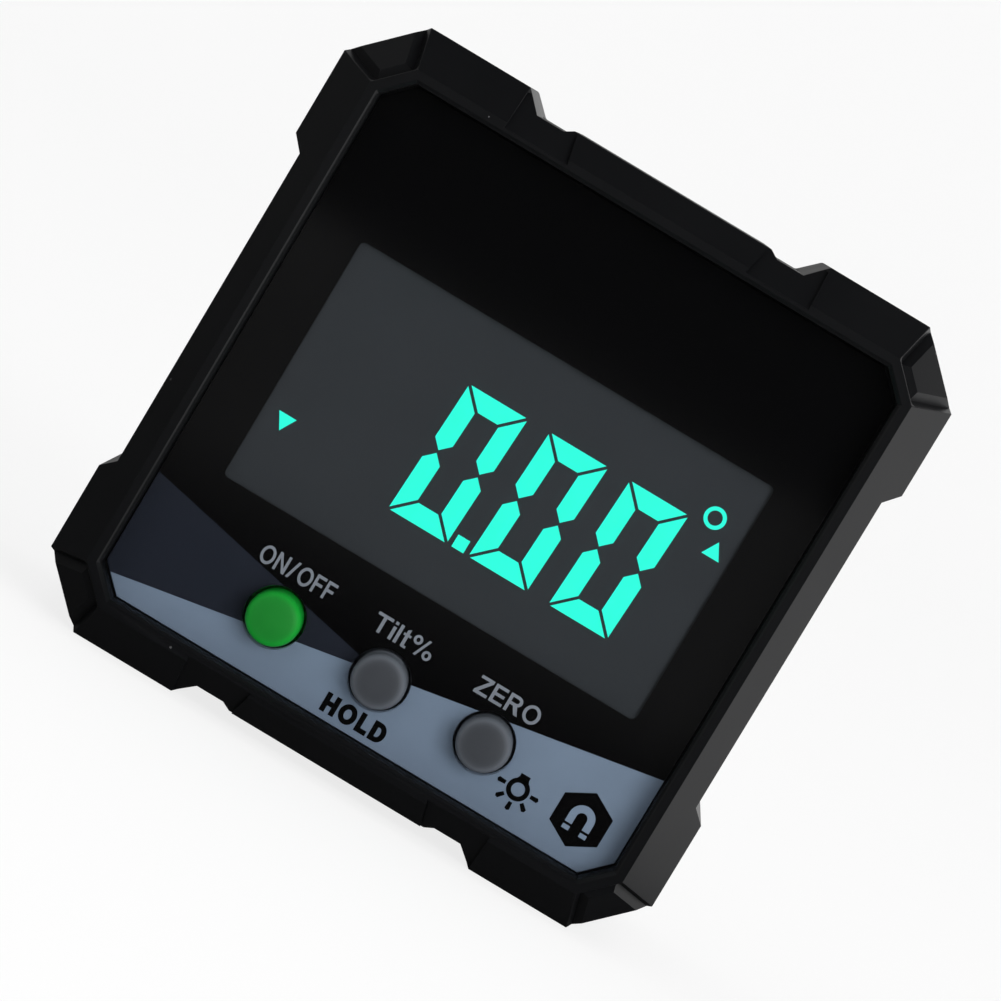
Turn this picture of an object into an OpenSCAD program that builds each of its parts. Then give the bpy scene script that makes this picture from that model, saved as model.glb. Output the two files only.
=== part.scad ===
// Pocket digital angle gauge: a square armoured case with eight magnetic feet,
// a lit display behind a printed lens, three push buttons and two cells at the back.
// X runs to the right, Y from the front to the back, and Z up from the lower feet.

/* [Case] */
// Width and height of the case over its feet
case_size = 60; // [60:0.5:72]
// Depth of the case from the front rim to the back face
case_depth = 31; // [29:0.5:40]
// Depth of the back cover, from the case joint to the back face
cover_depth = 9; // [7:0.5:10]
// Length that the 45 degree corner takes off each side
corner_cut = 5.4; // [4.5:0.1:6]
// Wall between a foot and the inside of the case
foot_wall = 3.6; // [3.2:0.05:3.7]
// Wall between a corner face and the inside of the case
corner_wall = 3.2; // [2.8:0.1:3.6]
// Thickness of the front panel that carries the lens
panel_t = 1.5; // [1.2:0.1:2]
// Thickness of the back wall of the cover
back_t = 2.8; // [2.4:0.1:3.4]

/* [Feet] */
// Length of each foot on the upper and lower sides
foot_w = 9.75; // [8.5:0.05:10.5]
// Depth of the notch beside each of those feet
notch_depth = 1.75; // [1.5:0.05:2]
// Flat width of that notch
notch_w = 2.6; // [2:0.1:3]
// Distance of the middle pad below the feet
pad_depth = 1.25; // [1:0.05:1.4]
// Run of the slope between a notch and the middle pad
pad_run = 0.8; // [0.5:0.1:1.2]
// Length of each foot on the left and right sides
side_foot_w = 8.1; // [7.6:0.1:9.5]
// Distance of the waist below the left and right feet
waist_depth = 1.3; // [0.8:0.05:1.6]

/* [Rim] */
// Width of the sloped rim, seen from the front
rim_bevel = 3.55; // [3:0.05:3.7]
// Depth over which the rim slopes back
bevel_depth = 4.5; // [3.6:0.1:5]
// Width of the flat land between the slope and the lens opening
rim_land = 1.1; // [0.9:0.05:1.5]
// Corner cut of the lens opening, along each side
opening_cut = 2.3; // [1.8:0.1:3]
// Chamfer round the front edge of the lens opening
opening_chamfer = 0.35; // [0.2:0.05:0.4]
// Depth of the groove round three sides of each corner facet
facet_groove = 0.6; // [0.4:0.05:0.7]
// Width of that groove
facet_groove_w = 1.3; // [1:0.05:1.4]
// Border left between that groove and the edges of the facet
facet_border = 0.1; // [0.05:0.05:0.2]
// How far the slope is set back in the notches, seen from the front
groove_sink = 0.45; // [0.3:0.05:0.6]
// Lean of the middle pad's ends across the slope
pad_lean = 1; // [0.5:0.1:1.5]
// Width of the slope round the back, seen from behind
back_bevel = 2.4; // [2:0.1:2.8]
// Depth of the slope round the back
back_bevel_depth = 2.2; // [1.8:0.1:2.6]

/* [Magnets] */
// Diameter of a foot magnet
magnet_d = 6; // [5:0.1:7]
// Thickness of a foot magnet
magnet_t = 2.2; // [1.8:0.1:2.4]
// How far a magnet lies below the face of its foot
magnet_sink = 0.2; // [0.1:0.05:0.3]
// Gap round a magnet in its pocket
magnet_gap = 0.05; // [0.03:0.01:0.1]

/* [Lens] */
// Depth of the lens below the front rim
lens_recess = 1.6; // [1.2:0.1:2]
// Thickness of the clear lens
lens_t = 1.5; // [1.2:0.1:2]
// Gap between the lens and the rim
lens_gap = 0.15; // [0.1:0.05:0.3]
// Thickness of the printed film behind the lens
film_t = 0.15; // [0.1:0.01:0.2]
// Thickness of the adhesive frame between film and panel
tape_t = 0.25; // [0.2:0.05:0.4]
// Width of the adhesive frame
tape_w = 1.6; // [1.2:0.1:1.7]
// Distance from the side feet to the clear window in the print
window_side = 9.6; // [9:0.1:12]
// Distance from the upper and lower feet to the clear window
window_rise = 18.4; // [18:0.1:20]
// Corner radius of the clear window
window_r = 0.5; // [0.3:0.1:1]
// Height of the pale band at the left edge, above the lower feet
band_left = 6.2; // [5.6:0.1:8]
// Height of the pale band at the right edge, above the lower feet
band_right = 15.35; // [14:0.05:16.4]
// Height of the grey wedge at the left edge, above the lower feet
wedge_left = 15.85; // [14:0.05:16.4]
// Sideways place of the wedge's tip on the band
wedge_tip = -0.3; // [-2:0.1:2]

/* [Display] */
// Border of the display cell beside the window
cell_side = 2.4; // [1.6:0.1:2.6]
// Border of the display cell above and below the window
cell_rise = 2.7; // [1.9:0.1:2.9]
// Thickness of the display cell
lcd_t = 2; // [1.8:0.1:2.4]
// Thickness of a lit segment
segment_t = 0.1; // [0.05:0.01:0.15]
// Height of a digit
digit_h = 12.65; // [11:0.05:14]
// Width of a digit
digit_w = 5.8; // [5.2:0.05:6.2]
// Distance from one digit to the next
digit_pitch = 7.95; // [7.8:0.05:8.4]
// Stroke of a digit
stroke = 1.74; // [1.4:0.02:2]
// Gap between two segments of a digit
segment_gap = 0.28; // [0.1:0.02:0.3]
// Lean of the digits to the right, in degrees
digit_lean = 2.4; // [0:0.1:6]
// Sideways place of the middle digit's foot
digit_x = 3.95; // [3:0.05:5]
// Height of the digits' middle, from the centre of the face
digit_y = -0.5; // [-2:0.1:1]
// Side of the decimal point
point_w = 1.18; // [0.9:0.02:1.3]
// Radius of the degree ring
degree_r = 1; // [0.8:0.05:1.2]
// Sideways place of the degree ring, from the centre of the face
degree_x = 17.35; // [17.1:0.05:18.8]
// Height of the degree ring, from the centre of the face
degree_y = 6.8; // [6.6:0.05:9]
// Stroke of the degree ring
degree_stroke = 0.35; // [0.25:0.05:0.6]
// Width of the slope arrows
arrow_w = 1.7; // [1.4:0.05:1.9]
// Height of the slope arrows
arrow_h = 1.5; // [1.2:0.05:1.7]
// Sideways place of the upward arrow, from the centre of the face
up_arrow_x = 18.7; // [17.6:0.05:19.2]
// Height of the upward arrow, from the centre of the face
up_arrow_y = 4.45; // [-6:0.05:4.5]
// Sideways place of the downward arrow, from the centre of the face
down_arrow_x = -18.25; // [-19.2:0.05:-12]
// Height of the downward arrow, from the centre of the face
down_arrow_y = -5.15; // [-9:0.05:9]
// Clearance round the display cell in its frame and the panel
lcd_gap = 0.15; // [0.1:0.05:0.25]
// Wall of the display frame
frame_wall = 1.2; // [0.8:0.1:1.4]
// Depth of the display frame, from the panel to the board
frame_depth = 5; // [4.8:0.1:6.5]
// Distance from the display cell's sides to the backlight guide
guide_side = 0.5; // [0.3:0.1:2]
// Room for a contact strip above and below the backlight guide
guide_rise = 3.3; // [3:0.1:4]
// Thickness of the backlight guide
guide_t = 2.5; // [2:0.1:2.6]
// Distance from the display cell's sides to the ends of the contact strips
strip_end = 1.8; // [1:0.1:4]
// Thickness of the contact strips
strip_t = 2.2; // [1.6:0.1:2.4]
// Height of a backlight lamp
lamp_h = 1.4; // [1:0.1:1.5]

/* [Buttons] */
// Diameter of a button
button_d = 4.85; // [4.4:0.05:5.4]
// Distance from the side feet to the middle of the outer buttons
button_side = 19.6; // [19.2:0.1:21]
// Height of the buttons above the lower feet
button_rise = 10.3; // [10:0.1:10.6]
// How far a button stands proud of the lens
button_proud = 1.25; // [0.8:0.05:1.5]
// Radius of a button's crowned face
button_crown = 12; // [9:0.5:16]
// Rounding of a button's edge
button_edge = 0.85; // [0.6:0.05:1]
// Clearance round a button
button_gap = 0.28; // [0.2:0.02:0.35]
// Diameter of a button's flange
flange_d = 7.2; // [6.8:0.1:7.4]
// Thickness of a button's flange
flange_t = 1; // [0.7:0.1:1.1]
// Slack between a flange and the panel
flange_slack = 0.1; // [0.05:0.01:0.15]
// Diameter of the tail behind a flange
tail_d = 2.4; // [2:0.1:2.8]
// Length of the tail behind a flange
tail_len = 0.4; // [0.3:0.05:0.6]
// Travel of a button
button_travel = 0.5; // [0.3:0.05:0.5]
// Side of a switch body
switch_w = 6; // [5:0.1:6.2]
// Height of a switch body above the board
switch_h = 2.9; // [2.6:0.05:2.95]
// Diameter of a switch plunger
plunger_d = 3.1; // [2.8:0.1:3.4]
// Clearance round a switch plunger
plunger_gap = 0.2; // [0.15:0.01:0.3]
// Floor of a switch body below its plunger
switch_floor = 0.9; // [0.7:0.05:1]

/* [Board] */
// Thickness of the circuit board
board_t = 1.2; // [1:0.1:1.6]
// Clearance between the board and the case
board_gap = 0.5; // [0.3:0.05:0.8]
// Distance from the side feet to the board posts
post_side = 12.7; // [12.5:0.1:13]
// Distance from the upper and lower feet to the board posts
post_rise = 11.5; // [11.2:0.1:11.7]
// Diameter of a board post
post_d = 4.6; // [4:0.1:4.8]
// Side of the controller chip
controller_w = 9; // [7:0.5:12]
// Sideways place of the controller chip, from the middle of the board
controller_x = -9; // [-14:0.5:-7]
// Thickness of the controller chip
controller_h = 1.3; // [0.9:0.1:2]
// Side of the tilt sensor
sensor_w = 4; // [3:0.5:6]
// Sideways place of the tilt sensor, from the middle of the board
sensor_x = 8; // [4:0.5:14]
// Thickness of the tilt sensor
sensor_h = 1; // [0.7:0.1:1.6]
// Length of a small board component
chip_len = 1.8; // [1.2:0.1:2.4]
// Distance from one small component to the next
chip_pitch = 3.2; // [2.8:0.1:3.6]
// Height of the two rows of small components above and below the middle
chip_row = 8; // [7.5:0.1:10]

/* [Fasteners] */
// Shank diameter of a case screw
case_screw_d = 2.2; // [2:0.1:2.6]
// Length of a case screw under its head
case_screw_len = 12; // [10:0.5:14]
// Head diameter of a case screw
case_head_d = 4; // [3.6:0.1:4.2]
// Head height of a case screw
case_head_h = 1.5; // [1.2:0.1:1.8]
// How far a case screw's head lies below the back face
head_sink = 0.5; // [0.3:0.1:0.8]
// Diameter of the bosses that take the case screws
boss_d = 6; // [5.6:0.1:6.2]
// How far a boss runs into the corner wall
boss_bite = 0.4; // [0.2:0.1:0.6]
// Shank diameter of a board screw
board_screw_d = 1.8; // [1.6:0.1:2]
// Length of a board screw under its head
board_screw_len = 5; // [4:0.5:5.5]
// Head diameter of a board screw
board_head_d = 3.6; // [3.2:0.1:3.8]
// Head height of a board screw
board_head_h = 1.3; // [1:0.1:1.6]
// Gap round a screw in its hole
screw_fit = 0.05; // [0.03:0.01:0.1]
// Gap round a case screw's head
head_gap = 0.15; // [0.1:0.05:0.25]

/* [Battery bay] */
// Diameter of a battery
battery_d = 10.5; // [10:0.1:10.6]
// Distance from the side feet to the ends of the battery bay
bay_side = 5.1; // [5:0.1:6]
// Diameter of a battery's button
nub_d = 3.8; // [3.4:0.1:4]
// Height of a battery's button
nub_h = 0.9; // [0.8:0.05:1.1]
// Distance from one battery to the other
battery_pitch = 11.2; // [11.1:0.05:11.6]
// Clearance round a battery in its trough
battery_gap = 0.2; // [0.15:0.05:0.3]
// Gap between the batteries and the door
door_room = 0.3; // [0.2:0.05:0.5]
// Wall of the battery bay
bay_wall = 1.2; // [1:0.05:1.2]
// Thickness of a contact plate
contact_t = 0.4; // [0.3:0.05:0.4]
// Width of a contact plate
contact_w = 8.4; // [7.6:0.1:9]
// Width of a contact's tail to the board
contact_tail_w = 2; // [1.6:0.1:2.4]
// Length of a contact spring against its battery
spring_len = 4.5; // [4:0.1:4.6]
// Wire diameter of a contact spring
spring_wire = 0.55; // [0.4:0.05:0.7]
// Coil radius of a contact spring at its plate
spring_r = 3.3; // [3:0.1:3.5]
// Coil radius of a contact spring at the battery
spring_tip_r = 2.2; // [1.8:0.1:2.6]
// Turns of a contact spring
spring_turns = 4; // [3:1:5]
// Thickness of the battery door
door_t = 1.8; // [1.5:0.1:2.2]
// Width of the ledge that the door rests on
door_ledge = 1.1; // [0.9:0.05:1.2]
// Clearance round the door
door_gap = 0.15; // [0.1:0.05:0.25]
// Width of the door's latch tongue
latch_w = 13; // [10:0.5:18]
// Length of the slots beside the latch tongue
latch_len = 6; // [4:0.5:8]
// Width of those slots
latch_slot = 0.8; // [0.6:0.1:1.2]
// Diameter of the thumb recess beside the latch
thumb_d = 14; // [10:0.5:18]
// Depth of the thumb recess
thumb_depth = 1.2; // [0.8:0.1:1.4]
// Distance from one grip groove to the next
grip_pitch = 1.6; // [1.4:0.1:2]
// Width of a grip groove
grip_w = 0.8; // [0.5:0.1:1]
// Depth of a grip groove
grip_depth = 0.4; // [0.2:0.05:0.6]
// Number of grip grooves
grip_count = 4; // [2:1:5]
// Height of the cover's lip inside the front case
lip_h = 1.4; // [1:0.1:2]
// Thickness of the cover's lip
lip_t = 1.2; // [1:0.1:1.5]
// Clearance of the lip in the front case
lip_gap = 0.2; // [0.12:0.02:0.25]

/* [Hidden] */
$fn = 64;

// Half sizes of the face, and the longest reach of a cutting solid
half = case_size / 2;
reach = 2 * case_size;
eps = 0.01;
over = 1;
both = [-1, 1];

// Outline of the case
foot_in = half - corner_cut - foot_w;
notch_out = foot_in - notch_depth;
notch_in = notch_out - notch_w;
pad_half = notch_in - pad_run;
side_foot_in = half - corner_cut - side_foot_w;
waist_half = side_foot_in - waist_depth;
outline_diag = (2 * half - corner_cut) / sqrt(2);

// Rim, lens opening and the inside of the case
ridge_half = half - rim_bevel;
opening_half = ridge_half - rim_land;
opening_diag = (2 * opening_half - opening_cut) / sqrt(2);
ridge_diag = opening_diag + rim_land;
ridge_cut = 2 * ridge_half - sqrt(2) * ridge_diag;
facet_tilt = atan2(outline_diag - ridge_diag, bevel_depth);
facet_run = bevel_depth / cos(facet_tilt);
groove_set = facet_groove_w / 2 + facet_border;
groove_reach = facet_groove_w / 2 * (facet_groove + over) / facet_groove;
cavity_half = half - foot_wall;
cavity_diag = outline_diag - corner_wall;
cavity_cut = 2 * cavity_half - sqrt(2) * cavity_diag;
boss_at = cavity_half - cavity_cut / 2 - (boss_d / 2 - boss_bite) / sqrt(2);
boss_room = boss_at - boss_d / 2 - board_gap;

// Depths from the front rim, going back
front_depth = case_depth - cover_depth;
lens_back = lens_recess + lens_t;
film_back = lens_back + film_t;
panel_front = film_back + tape_t;
panel_back = panel_front + panel_t;
lcd_back = panel_front + lcd_t;
guide_back = lcd_back + guide_t;
board_front = panel_back + frame_depth;
board_back = board_front + board_t;
flange_front = panel_back + flange_slack;
flange_back = flange_front + flange_t;
tail_end = flange_back + tail_len;
button_front = lens_recess - button_proud;
switch_front = board_front - switch_h;
plunger_seat = board_front - switch_floor;
plunger_end = plunger_seat - button_travel - plunger_gap;

// Lens, display, frame and board
lens_half = opening_half - lens_gap;
window_w = 2 * (half - window_side);
window_h = 2 * (half - window_rise);
cell_w = window_w + 2 * cell_side;
cell_h = window_h + 2 * cell_rise;
guide_w = cell_w - 2 * guide_side;
guide_h = cell_h - 2 * guide_rise;
strip_len = cell_w - 2 * strip_end;
button_pitch = half - button_side;
button_y = button_rise - half;
post_x = half - post_side;
post_y = half - post_rise;
lens_cut = opening_cut;
tape_half = lens_half - tape_w;
frame_in_x = cell_w / 2 + lcd_gap;
frame_in_y = cell_h / 2 + lcd_gap;
strip_y = (guide_h / 2 + frame_in_y) / 2;
board_half = cavity_half - board_gap;
button_hole = button_d + 2 * button_gap;

// Battery bay, going forward from the back face
door_front = case_depth - door_t;
battery_depth = door_front - door_room - battery_d / 2;
trough_d = battery_d + 2 * battery_gap;
bay_floor = battery_depth - trough_d / 2;
bay_front = bay_floor - bay_wall;
bay_half_x = half - bay_side;
bay_half_y = battery_pitch / 2 + trough_d / 2;
plate_x = bay_half_x - contact_t;
battery_len = 2 * plate_x - spring_len;
door_half_x = bay_half_x + door_ledge;
door_half_y = bay_half_y + door_ledge;
head_back = case_depth - head_sink;
head_front = head_back - case_head_h;
thread_end = head_front - case_screw_len;
board_thread_end = board_back - board_screw_len;
magnet_depth = (bevel_depth + front_depth) / 2;
foot_mid = half - corner_cut - foot_w / 2;
side_foot_mid = half - corner_cut - side_foot_w / 2;

// Digit shape
digit_mid = digit_h / 2;
mitre = segment_gap / sqrt(2);
tip_gap = segment_gap / 2;

// Turn of a button's crown from its tip to its edge, and the steps of both
crown_turn = asin((button_d / 2 - button_edge) / (button_crown - button_edge));
crown_steps = 2;
edge_steps = 5;

// Facets of a contact spring's wire
wire_sides = 6;
turn_steps = 14;

case_colour = [0.06, 0.06, 0.07];

// Extrudes a face shape from one depth to another
module plate(from, to) {
    translate([0, to - case_depth / 2, half])
        rotate([90, 0, 0])
            linear_extrude(to - from)
                children();
}

// Turns a profile of radius and depth about an axis that runs front to back
module turned(x, y) {
    translate([x, -case_depth / 2, half + y])
        rotate([-90, 0, 0])
            rotate_extrude()
                children();
}

// Bar along Z whose half width changes from one depth to another
module taper_bar(a0, d0, a1, d1) {
    translate([0, -case_depth / 2, 0])
        linear_extrude(reach, center = true)
            polygon([[-a0, d0], [a0, d0], [a1, d1], [-a1, d1]]);
}

// Eight-sided block that tapers from one depth to another
module octa_taper(side0, diag0, d0, side1, diag1, d1) {
    translate([0, 0, half])
        intersection() {
            taper_bar(side0, d0, side1, d1);
            rotate([0, 90, 0])
                taper_bar(side0, d0, side1, d1);
            rotate([0, 45, 0])
                taper_bar(diag0, d0, diag1, d1);
            rotate([0, -45, 0])
                taper_bar(diag0, d0, diag1, d1);
        }
}

// Block under the front slope, with its sides and corners set in by the given amounts
module rim_taper(side_set, diag_set) {
    run = front_depth / bevel_depth;
    octa_taper(
        ridge_half - side_set, ridge_diag - diag_set, 0,
        ridge_half - side_set + rim_bevel * run,
        ridge_diag - diag_set + (outline_diag - ridge_diag) * run, front_depth);
}

// Corner points of the upper right quarter of the case, clockwise
function quarter() = [
    [pad_half, half - pad_depth],
    [notch_in, half - notch_depth],
    [notch_out, half - notch_depth],
    [foot_in, half],
    [half - corner_cut, half],
    [half, half - corner_cut],
    [half, side_foot_in],
    [half - waist_depth, waist_half]
];

// A quarter with its signs changed, and a list turned round
function flipped(points, sx, sy) = [for (p = points) [sx * p.x, sy * p.y]];
function reversed(points) = [for (i = [len(points) - 1 : -1 : 0]) points[i]];

module case_outline() {
    polygon(concat(
        quarter(),
        reversed(flipped(quarter(), 1, -1)),
        flipped(quarter(), -1, -1),
        reversed(flipped(quarter(), -1, 1))));
}

// Square with its corners cut at 45 degrees
module cut_square(side, cut) {
    polygon([
        [side - cut, side], [side, side - cut], [side, cut - side], [side - cut, -side],
        [cut - side, -side], [-side, cut - side], [-side, side - cut], [cut - side, side]
    ]);
}

// Square with a square notch in each corner
module notched_square(side, keep) {
    square([2 * side, 2 * keep], center = true);
    square([2 * keep, 2 * side], center = true);
}

// Rectangle with round corners
module round_rect(w, h, r) {
    square([w - 2 * r, h], center = true);
    square([w, h - 2 * r], center = true);
    for (sx = both, sy = both)
        translate([sx * (w / 2 - r), sy * (h / 2 - r)])
            circle(r);
}

// Repeats its child at the four corners of a rectangle
module at_corners(x, y) {
    for (sx = both, sy = both)
        translate([sx * x, sy * y])
            children();
}

// Repeats its child at the three buttons
module at_buttons() {
    for (i = [-1 : 1])
        translate([i * button_pitch, button_y])
            children();
}

// Discs at the feet: two on each side, pointing outwards, from one depth into the case to another
module foot_discs(d, from, to) {
    for (turn = [0, 180], s = both)
        translate([s * foot_mid, magnet_depth - case_depth / 2, half])
            rotate([0, turn, 0])
                translate([0, 0, half - to])
                    cylinder(d = d, h = to - from);
    for (turn = [90, -90], s = both)
        translate([0, magnet_depth - case_depth / 2, half + s * side_foot_mid])
            rotate([0, turn, 0])
                translate([0, 0, half - to])
                    cylinder(d = d, h = to - from);
}

// Half the distance between the two side grooves of a corner facet, at a way down its slope
function groove_side(way) =
    (ridge_cut + (corner_cut - ridge_cut) * way / facet_run) / sqrt(2) - groove_set;

// Groove round the inner end and the two sides of each corner facet
module corner_grooves() {
    near = groove_side(groove_set);
    past = facet_run + over;
    translate([0, -case_depth / 2, half])
        for (turn = [45 : 90 : 315])
            rotate([0, turn, 0])
                translate([ridge_diag, 0, 0])
                    rotate([0, 90, -facet_tilt]) {
                        groove_line([-near, groove_set], [near, groove_set]);
                        for (s = both) {
                            groove_line([s * near, groove_set], [s * groove_side(past), past]);
                            translate([s * near, groove_set, -facet_groove])
                                cylinder(h = facet_groove + over, r1 = 0, r2 = groove_reach);
                        }
                    }
}

// Straight run of a corner groove from one place on the facet to another
module groove_line(from, to) {
    translate([from.x, from.y, 0])
        rotate([90, 0, atan2(to.y - from.y, to.x - from.x) + 90])
            linear_extrude(norm(to - from))
                polygon([[0, -facet_groove], [groove_reach, over], [-groove_reach, over]]);
}

// Hollow above the sunk slope of each notch
module notch_grooves() {
    difference() {
        plate(-over, bevel_depth)
            for (sx = both, sy = both)
                scale([sx, sy])
                    polygon([
                        [pad_half - pad_lean, ridge_half - groove_sink - eps],
                        [pad_half, half],
                        [foot_in, half],
                        [foot_in, ridge_half - groove_sink - eps]
                    ]);
        rim_taper(groove_sink, 0);
    }
}

module front_case() {
    color(case_colour)
        difference() {
            union() {
                difference() {
                    intersection() {
                        plate(0, front_depth)
                            case_outline();
                        rim_taper(0, 0);
                    }
                    plate(panel_back, front_depth + over)
                        cut_square(cavity_half, cavity_cut);
                }
                plate(panel_back - eps, front_depth)
                    at_corners(boss_at, boss_at)
                        circle(d = boss_d);
                plate(panel_back - eps, board_front)
                    at_corners(post_x, post_y)
                        circle(d = post_d);
            }
            corner_grooves();
            notch_grooves();
            plate(-over, panel_front)
                cut_square(opening_half, opening_cut);
            octa_taper(
                opening_half + 2 * opening_chamfer, opening_diag + 2 * opening_chamfer, -opening_chamfer,
                opening_half, opening_diag, opening_chamfer);
            plate(panel_front - over, panel_back + over)
                square([2 * frame_in_x, 2 * frame_in_y], center = true);
            plate(panel_front - over, panel_back + over)
                at_buttons()
                    circle(d = button_hole);
            plate(thread_end - screw_fit, front_depth + over)
                at_corners(boss_at, boss_at)
                    circle(d = case_screw_d + 2 * screw_fit);
            plate(board_thread_end - screw_fit, board_front + over)
                at_corners(post_x, post_y)
                    circle(d = board_screw_d + 2 * screw_fit);
            foot_discs(magnet_d + 2 * magnet_gap, -over, magnet_sink + magnet_t);
        }
}

// Room for the two batteries, open to the back
module battery_troughs() {
    for (s = both) {
        translate([-bay_half_x, battery_depth - case_depth / 2, half + s * battery_pitch / 2])
            rotate([0, 90, 0])
                cylinder(d = trough_d, h = 2 * bay_half_x);
        plate(battery_depth, case_depth + over)
            translate([0, s * battery_pitch / 2])
                square([2 * bay_half_x, trough_d], center = true);
    }
    plate(battery_depth, case_depth + over)
        square([2 * bay_half_x, battery_pitch], center = true);
}

// Slots in the bay for the contact plates and for the tails that reach the board
module contact_slots() {
    for (sx = both)
        plate(battery_depth - contact_w / 2, door_front)
            translate([sx * (bay_half_x - contact_t / 2), 0])
                square([contact_t + 2 * eps, battery_pitch + contact_w], center = true);
    plate(bay_front - over, battery_depth)
        for (s = both)
            translate([plate_x + contact_t / 2, s * battery_pitch / 2])
                square([2 * contact_t, contact_tail_w + contact_t], center = true);
}

module rear_cover() {
    run = cover_depth / back_bevel_depth;
    color(case_colour)
        difference() {
            union() {
                difference() {
                    intersection() {
                        plate(front_depth, case_depth)
                            case_outline();
                        octa_taper(
                            half - back_bevel + back_bevel * run,
                            outline_diag - back_bevel + back_bevel * run,
                            front_depth, half - back_bevel, outline_diag - back_bevel, case_depth);
                    }
                    plate(front_depth - over, case_depth - back_t)
                        cut_square(cavity_half, cavity_cut);
                }
                plate(front_depth - lip_h, case_depth - back_t + eps)
                    difference() {
                        notched_square(cavity_half - lip_gap, boss_room);
                        square(2 * (cavity_half - lip_gap - lip_t), center = true);
                    }
                plate(front_depth, case_depth - back_t + eps)
                    at_corners(boss_at, boss_at)
                        circle(d = boss_d);
                plate(bay_front, case_depth - back_t + eps)
                    square([2 * (bay_half_x + bay_wall), 2 * (bay_half_y + bay_wall)], center = true);
            }
            battery_troughs();
            contact_slots();
            plate(door_front, case_depth + over)
                square([2 * (door_half_x + door_gap), 2 * (door_half_y + door_gap)], center = true);
            plate(case_depth - thumb_depth, case_depth + over)
                translate([0, door_half_y])
                    circle(d = thumb_d);
            plate(front_depth - over, case_depth + over)
                at_corners(boss_at, boss_at)
                    circle(d = case_screw_d + 2 * screw_fit);
            plate(head_front, case_depth + over)
                at_corners(boss_at, boss_at)
                    circle(d = case_head_d + 2 * head_gap);
        }
}

module battery_door() {
    color(case_colour)
        difference() {
            plate(door_front, case_depth)
                difference() {
                    square([2 * door_half_x, 2 * door_half_y], center = true);
                    for (s = both)
                        translate([s * (latch_w + latch_slot) / 2, door_half_y - latch_len / 2])
                            square([latch_slot, latch_len + eps], center = true);
                }
            plate(case_depth - grip_depth, case_depth + over)
                for (i = [1 : grip_count])
                    translate([0, door_half_y - grip_pitch * i])
                        square([latch_w - 2 * grip_pitch, grip_w], center = true);
        }
}

// Outline of the lens and of the film behind it, with the three button holes
module lens_outline() {
    difference() {
        cut_square(lens_half, lens_cut);
        at_buttons()
            circle(d = button_hole);
    }
}

module lens() {
    color([0.75, 0.8, 0.85, 0.3])
        plate(lens_recess, lens_back)
            lens_outline();
}

// Height of the band's upper edge at a place along the face
function band_at(x) = band_left - half + (band_right - band_left) * (x + lens_half) / (2 * lens_half);

module band_area() {
    polygon([
        [-lens_half, band_at(-lens_half)], [lens_half, band_at(lens_half)],
        [lens_half, -half], [-lens_half, -half]
    ]);
}

module wedge_area() {
    polygon([
        [-lens_half, wedge_left - half], [wedge_tip, band_at(wedge_tip)], [-lens_half, band_at(-lens_half)]
    ]);
}

module face_print() {
    color([0.03, 0.03, 0.035])
        plate(lens_back, film_back)
            difference() {
                lens_outline();
                round_rect(window_w, window_h, window_r);
                band_area();
                wedge_area();
            }
}

module band_print() {
    color([0.43, 0.47, 0.54])
        plate(lens_back, film_back)
            intersection() {
                lens_outline();
                band_area();
            }
}

module wedge_print() {
    color([0.13, 0.14, 0.17])
        plate(lens_back, film_back)
            intersection() {
                lens_outline();
                wedge_area();
            }
}

module lens_tape() {
    color([0.1, 0.1, 0.1])
        plate(film_back, panel_front)
            difference() {
                cut_square(lens_half, lens_cut);
                square(2 * tape_half, center = true);
            }
}

module lcd_cell() {
    color([0.18, 0.19, 0.2])
        plate(panel_front, lcd_back)
            square([cell_w, cell_h], center = true);
}

// Moves a point of a digit to the right with its height
function leaning(p) = [p.x + p.y * tan(digit_lean), p.y];

module leaning_polygon(points) {
    polygon([for (p = points) leaning(p)]);
}

// Upper bar of a digit whose middle is at the origin
module digit_bar() {
    leaning_polygon([
        [mitre - digit_w / 2, digit_mid],
        [digit_w / 2 - mitre, digit_mid],
        [digit_w / 2 - stroke - mitre, digit_mid - stroke],
        [stroke + mitre - digit_w / 2, digit_mid - stroke]
    ]);
}

// Upper left bar of a digit whose middle is at the origin
module digit_side() {
    leaning_polygon([
        [-digit_w / 2, digit_mid - mitre],
        [stroke - digit_w / 2, digit_mid - stroke - mitre],
        [stroke - digit_w / 2, stroke / 2 + tip_gap],
        [stroke / 2 - digit_w / 2, tip_gap],
        [-digit_w / 2, stroke / 2 + tip_gap]
    ]);
}

// Six lit segments of a nought: half of them are the others turned round
module digit_nought() {
    for (turn = [0, 180])
        rotate(turn) {
            digit_bar();
            digit_side();
        }
    for (turn = [0, 180])
        rotate(turn)
            leaning_polygon([
                [digit_w / 2, digit_mid - mitre],
                [digit_w / 2, stroke / 2 + tip_gap],
                [digit_w / 2 - stroke / 2, tip_gap],
                [digit_w / 2 - stroke, stroke / 2 + tip_gap],
                [digit_w / 2 - stroke, digit_mid - stroke - mitre]
            ]);
}

module lcd_segments() {
    mid_x = digit_x + digit_mid * tan(digit_lean);
    point_x = digit_x - (digit_pitch - digit_w) / 2 - digit_w / 2;
    color([0.1, 1, 0.84])
        plate(panel_front - segment_t, panel_front) {
            for (i = [-1 : 1])
                translate([mid_x + i * digit_pitch, digit_y])
                    digit_nought();
            translate([point_x, digit_y - digit_mid + point_w / 2])
                square(point_w, center = true);
            translate([degree_x, degree_y])
                difference() {
                    circle(degree_r);
                    circle(degree_r - degree_stroke);
                }
            translate([up_arrow_x, up_arrow_y])
                polygon([[-arrow_w / 2, -arrow_h / 2], [arrow_w / 2, -arrow_h / 2], [0, arrow_h / 2]]);
            translate([down_arrow_x, down_arrow_y])
                polygon([[-arrow_w / 2, arrow_h / 2], [0, -arrow_h / 2], [arrow_w / 2, arrow_h / 2]]);
        }
}

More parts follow.
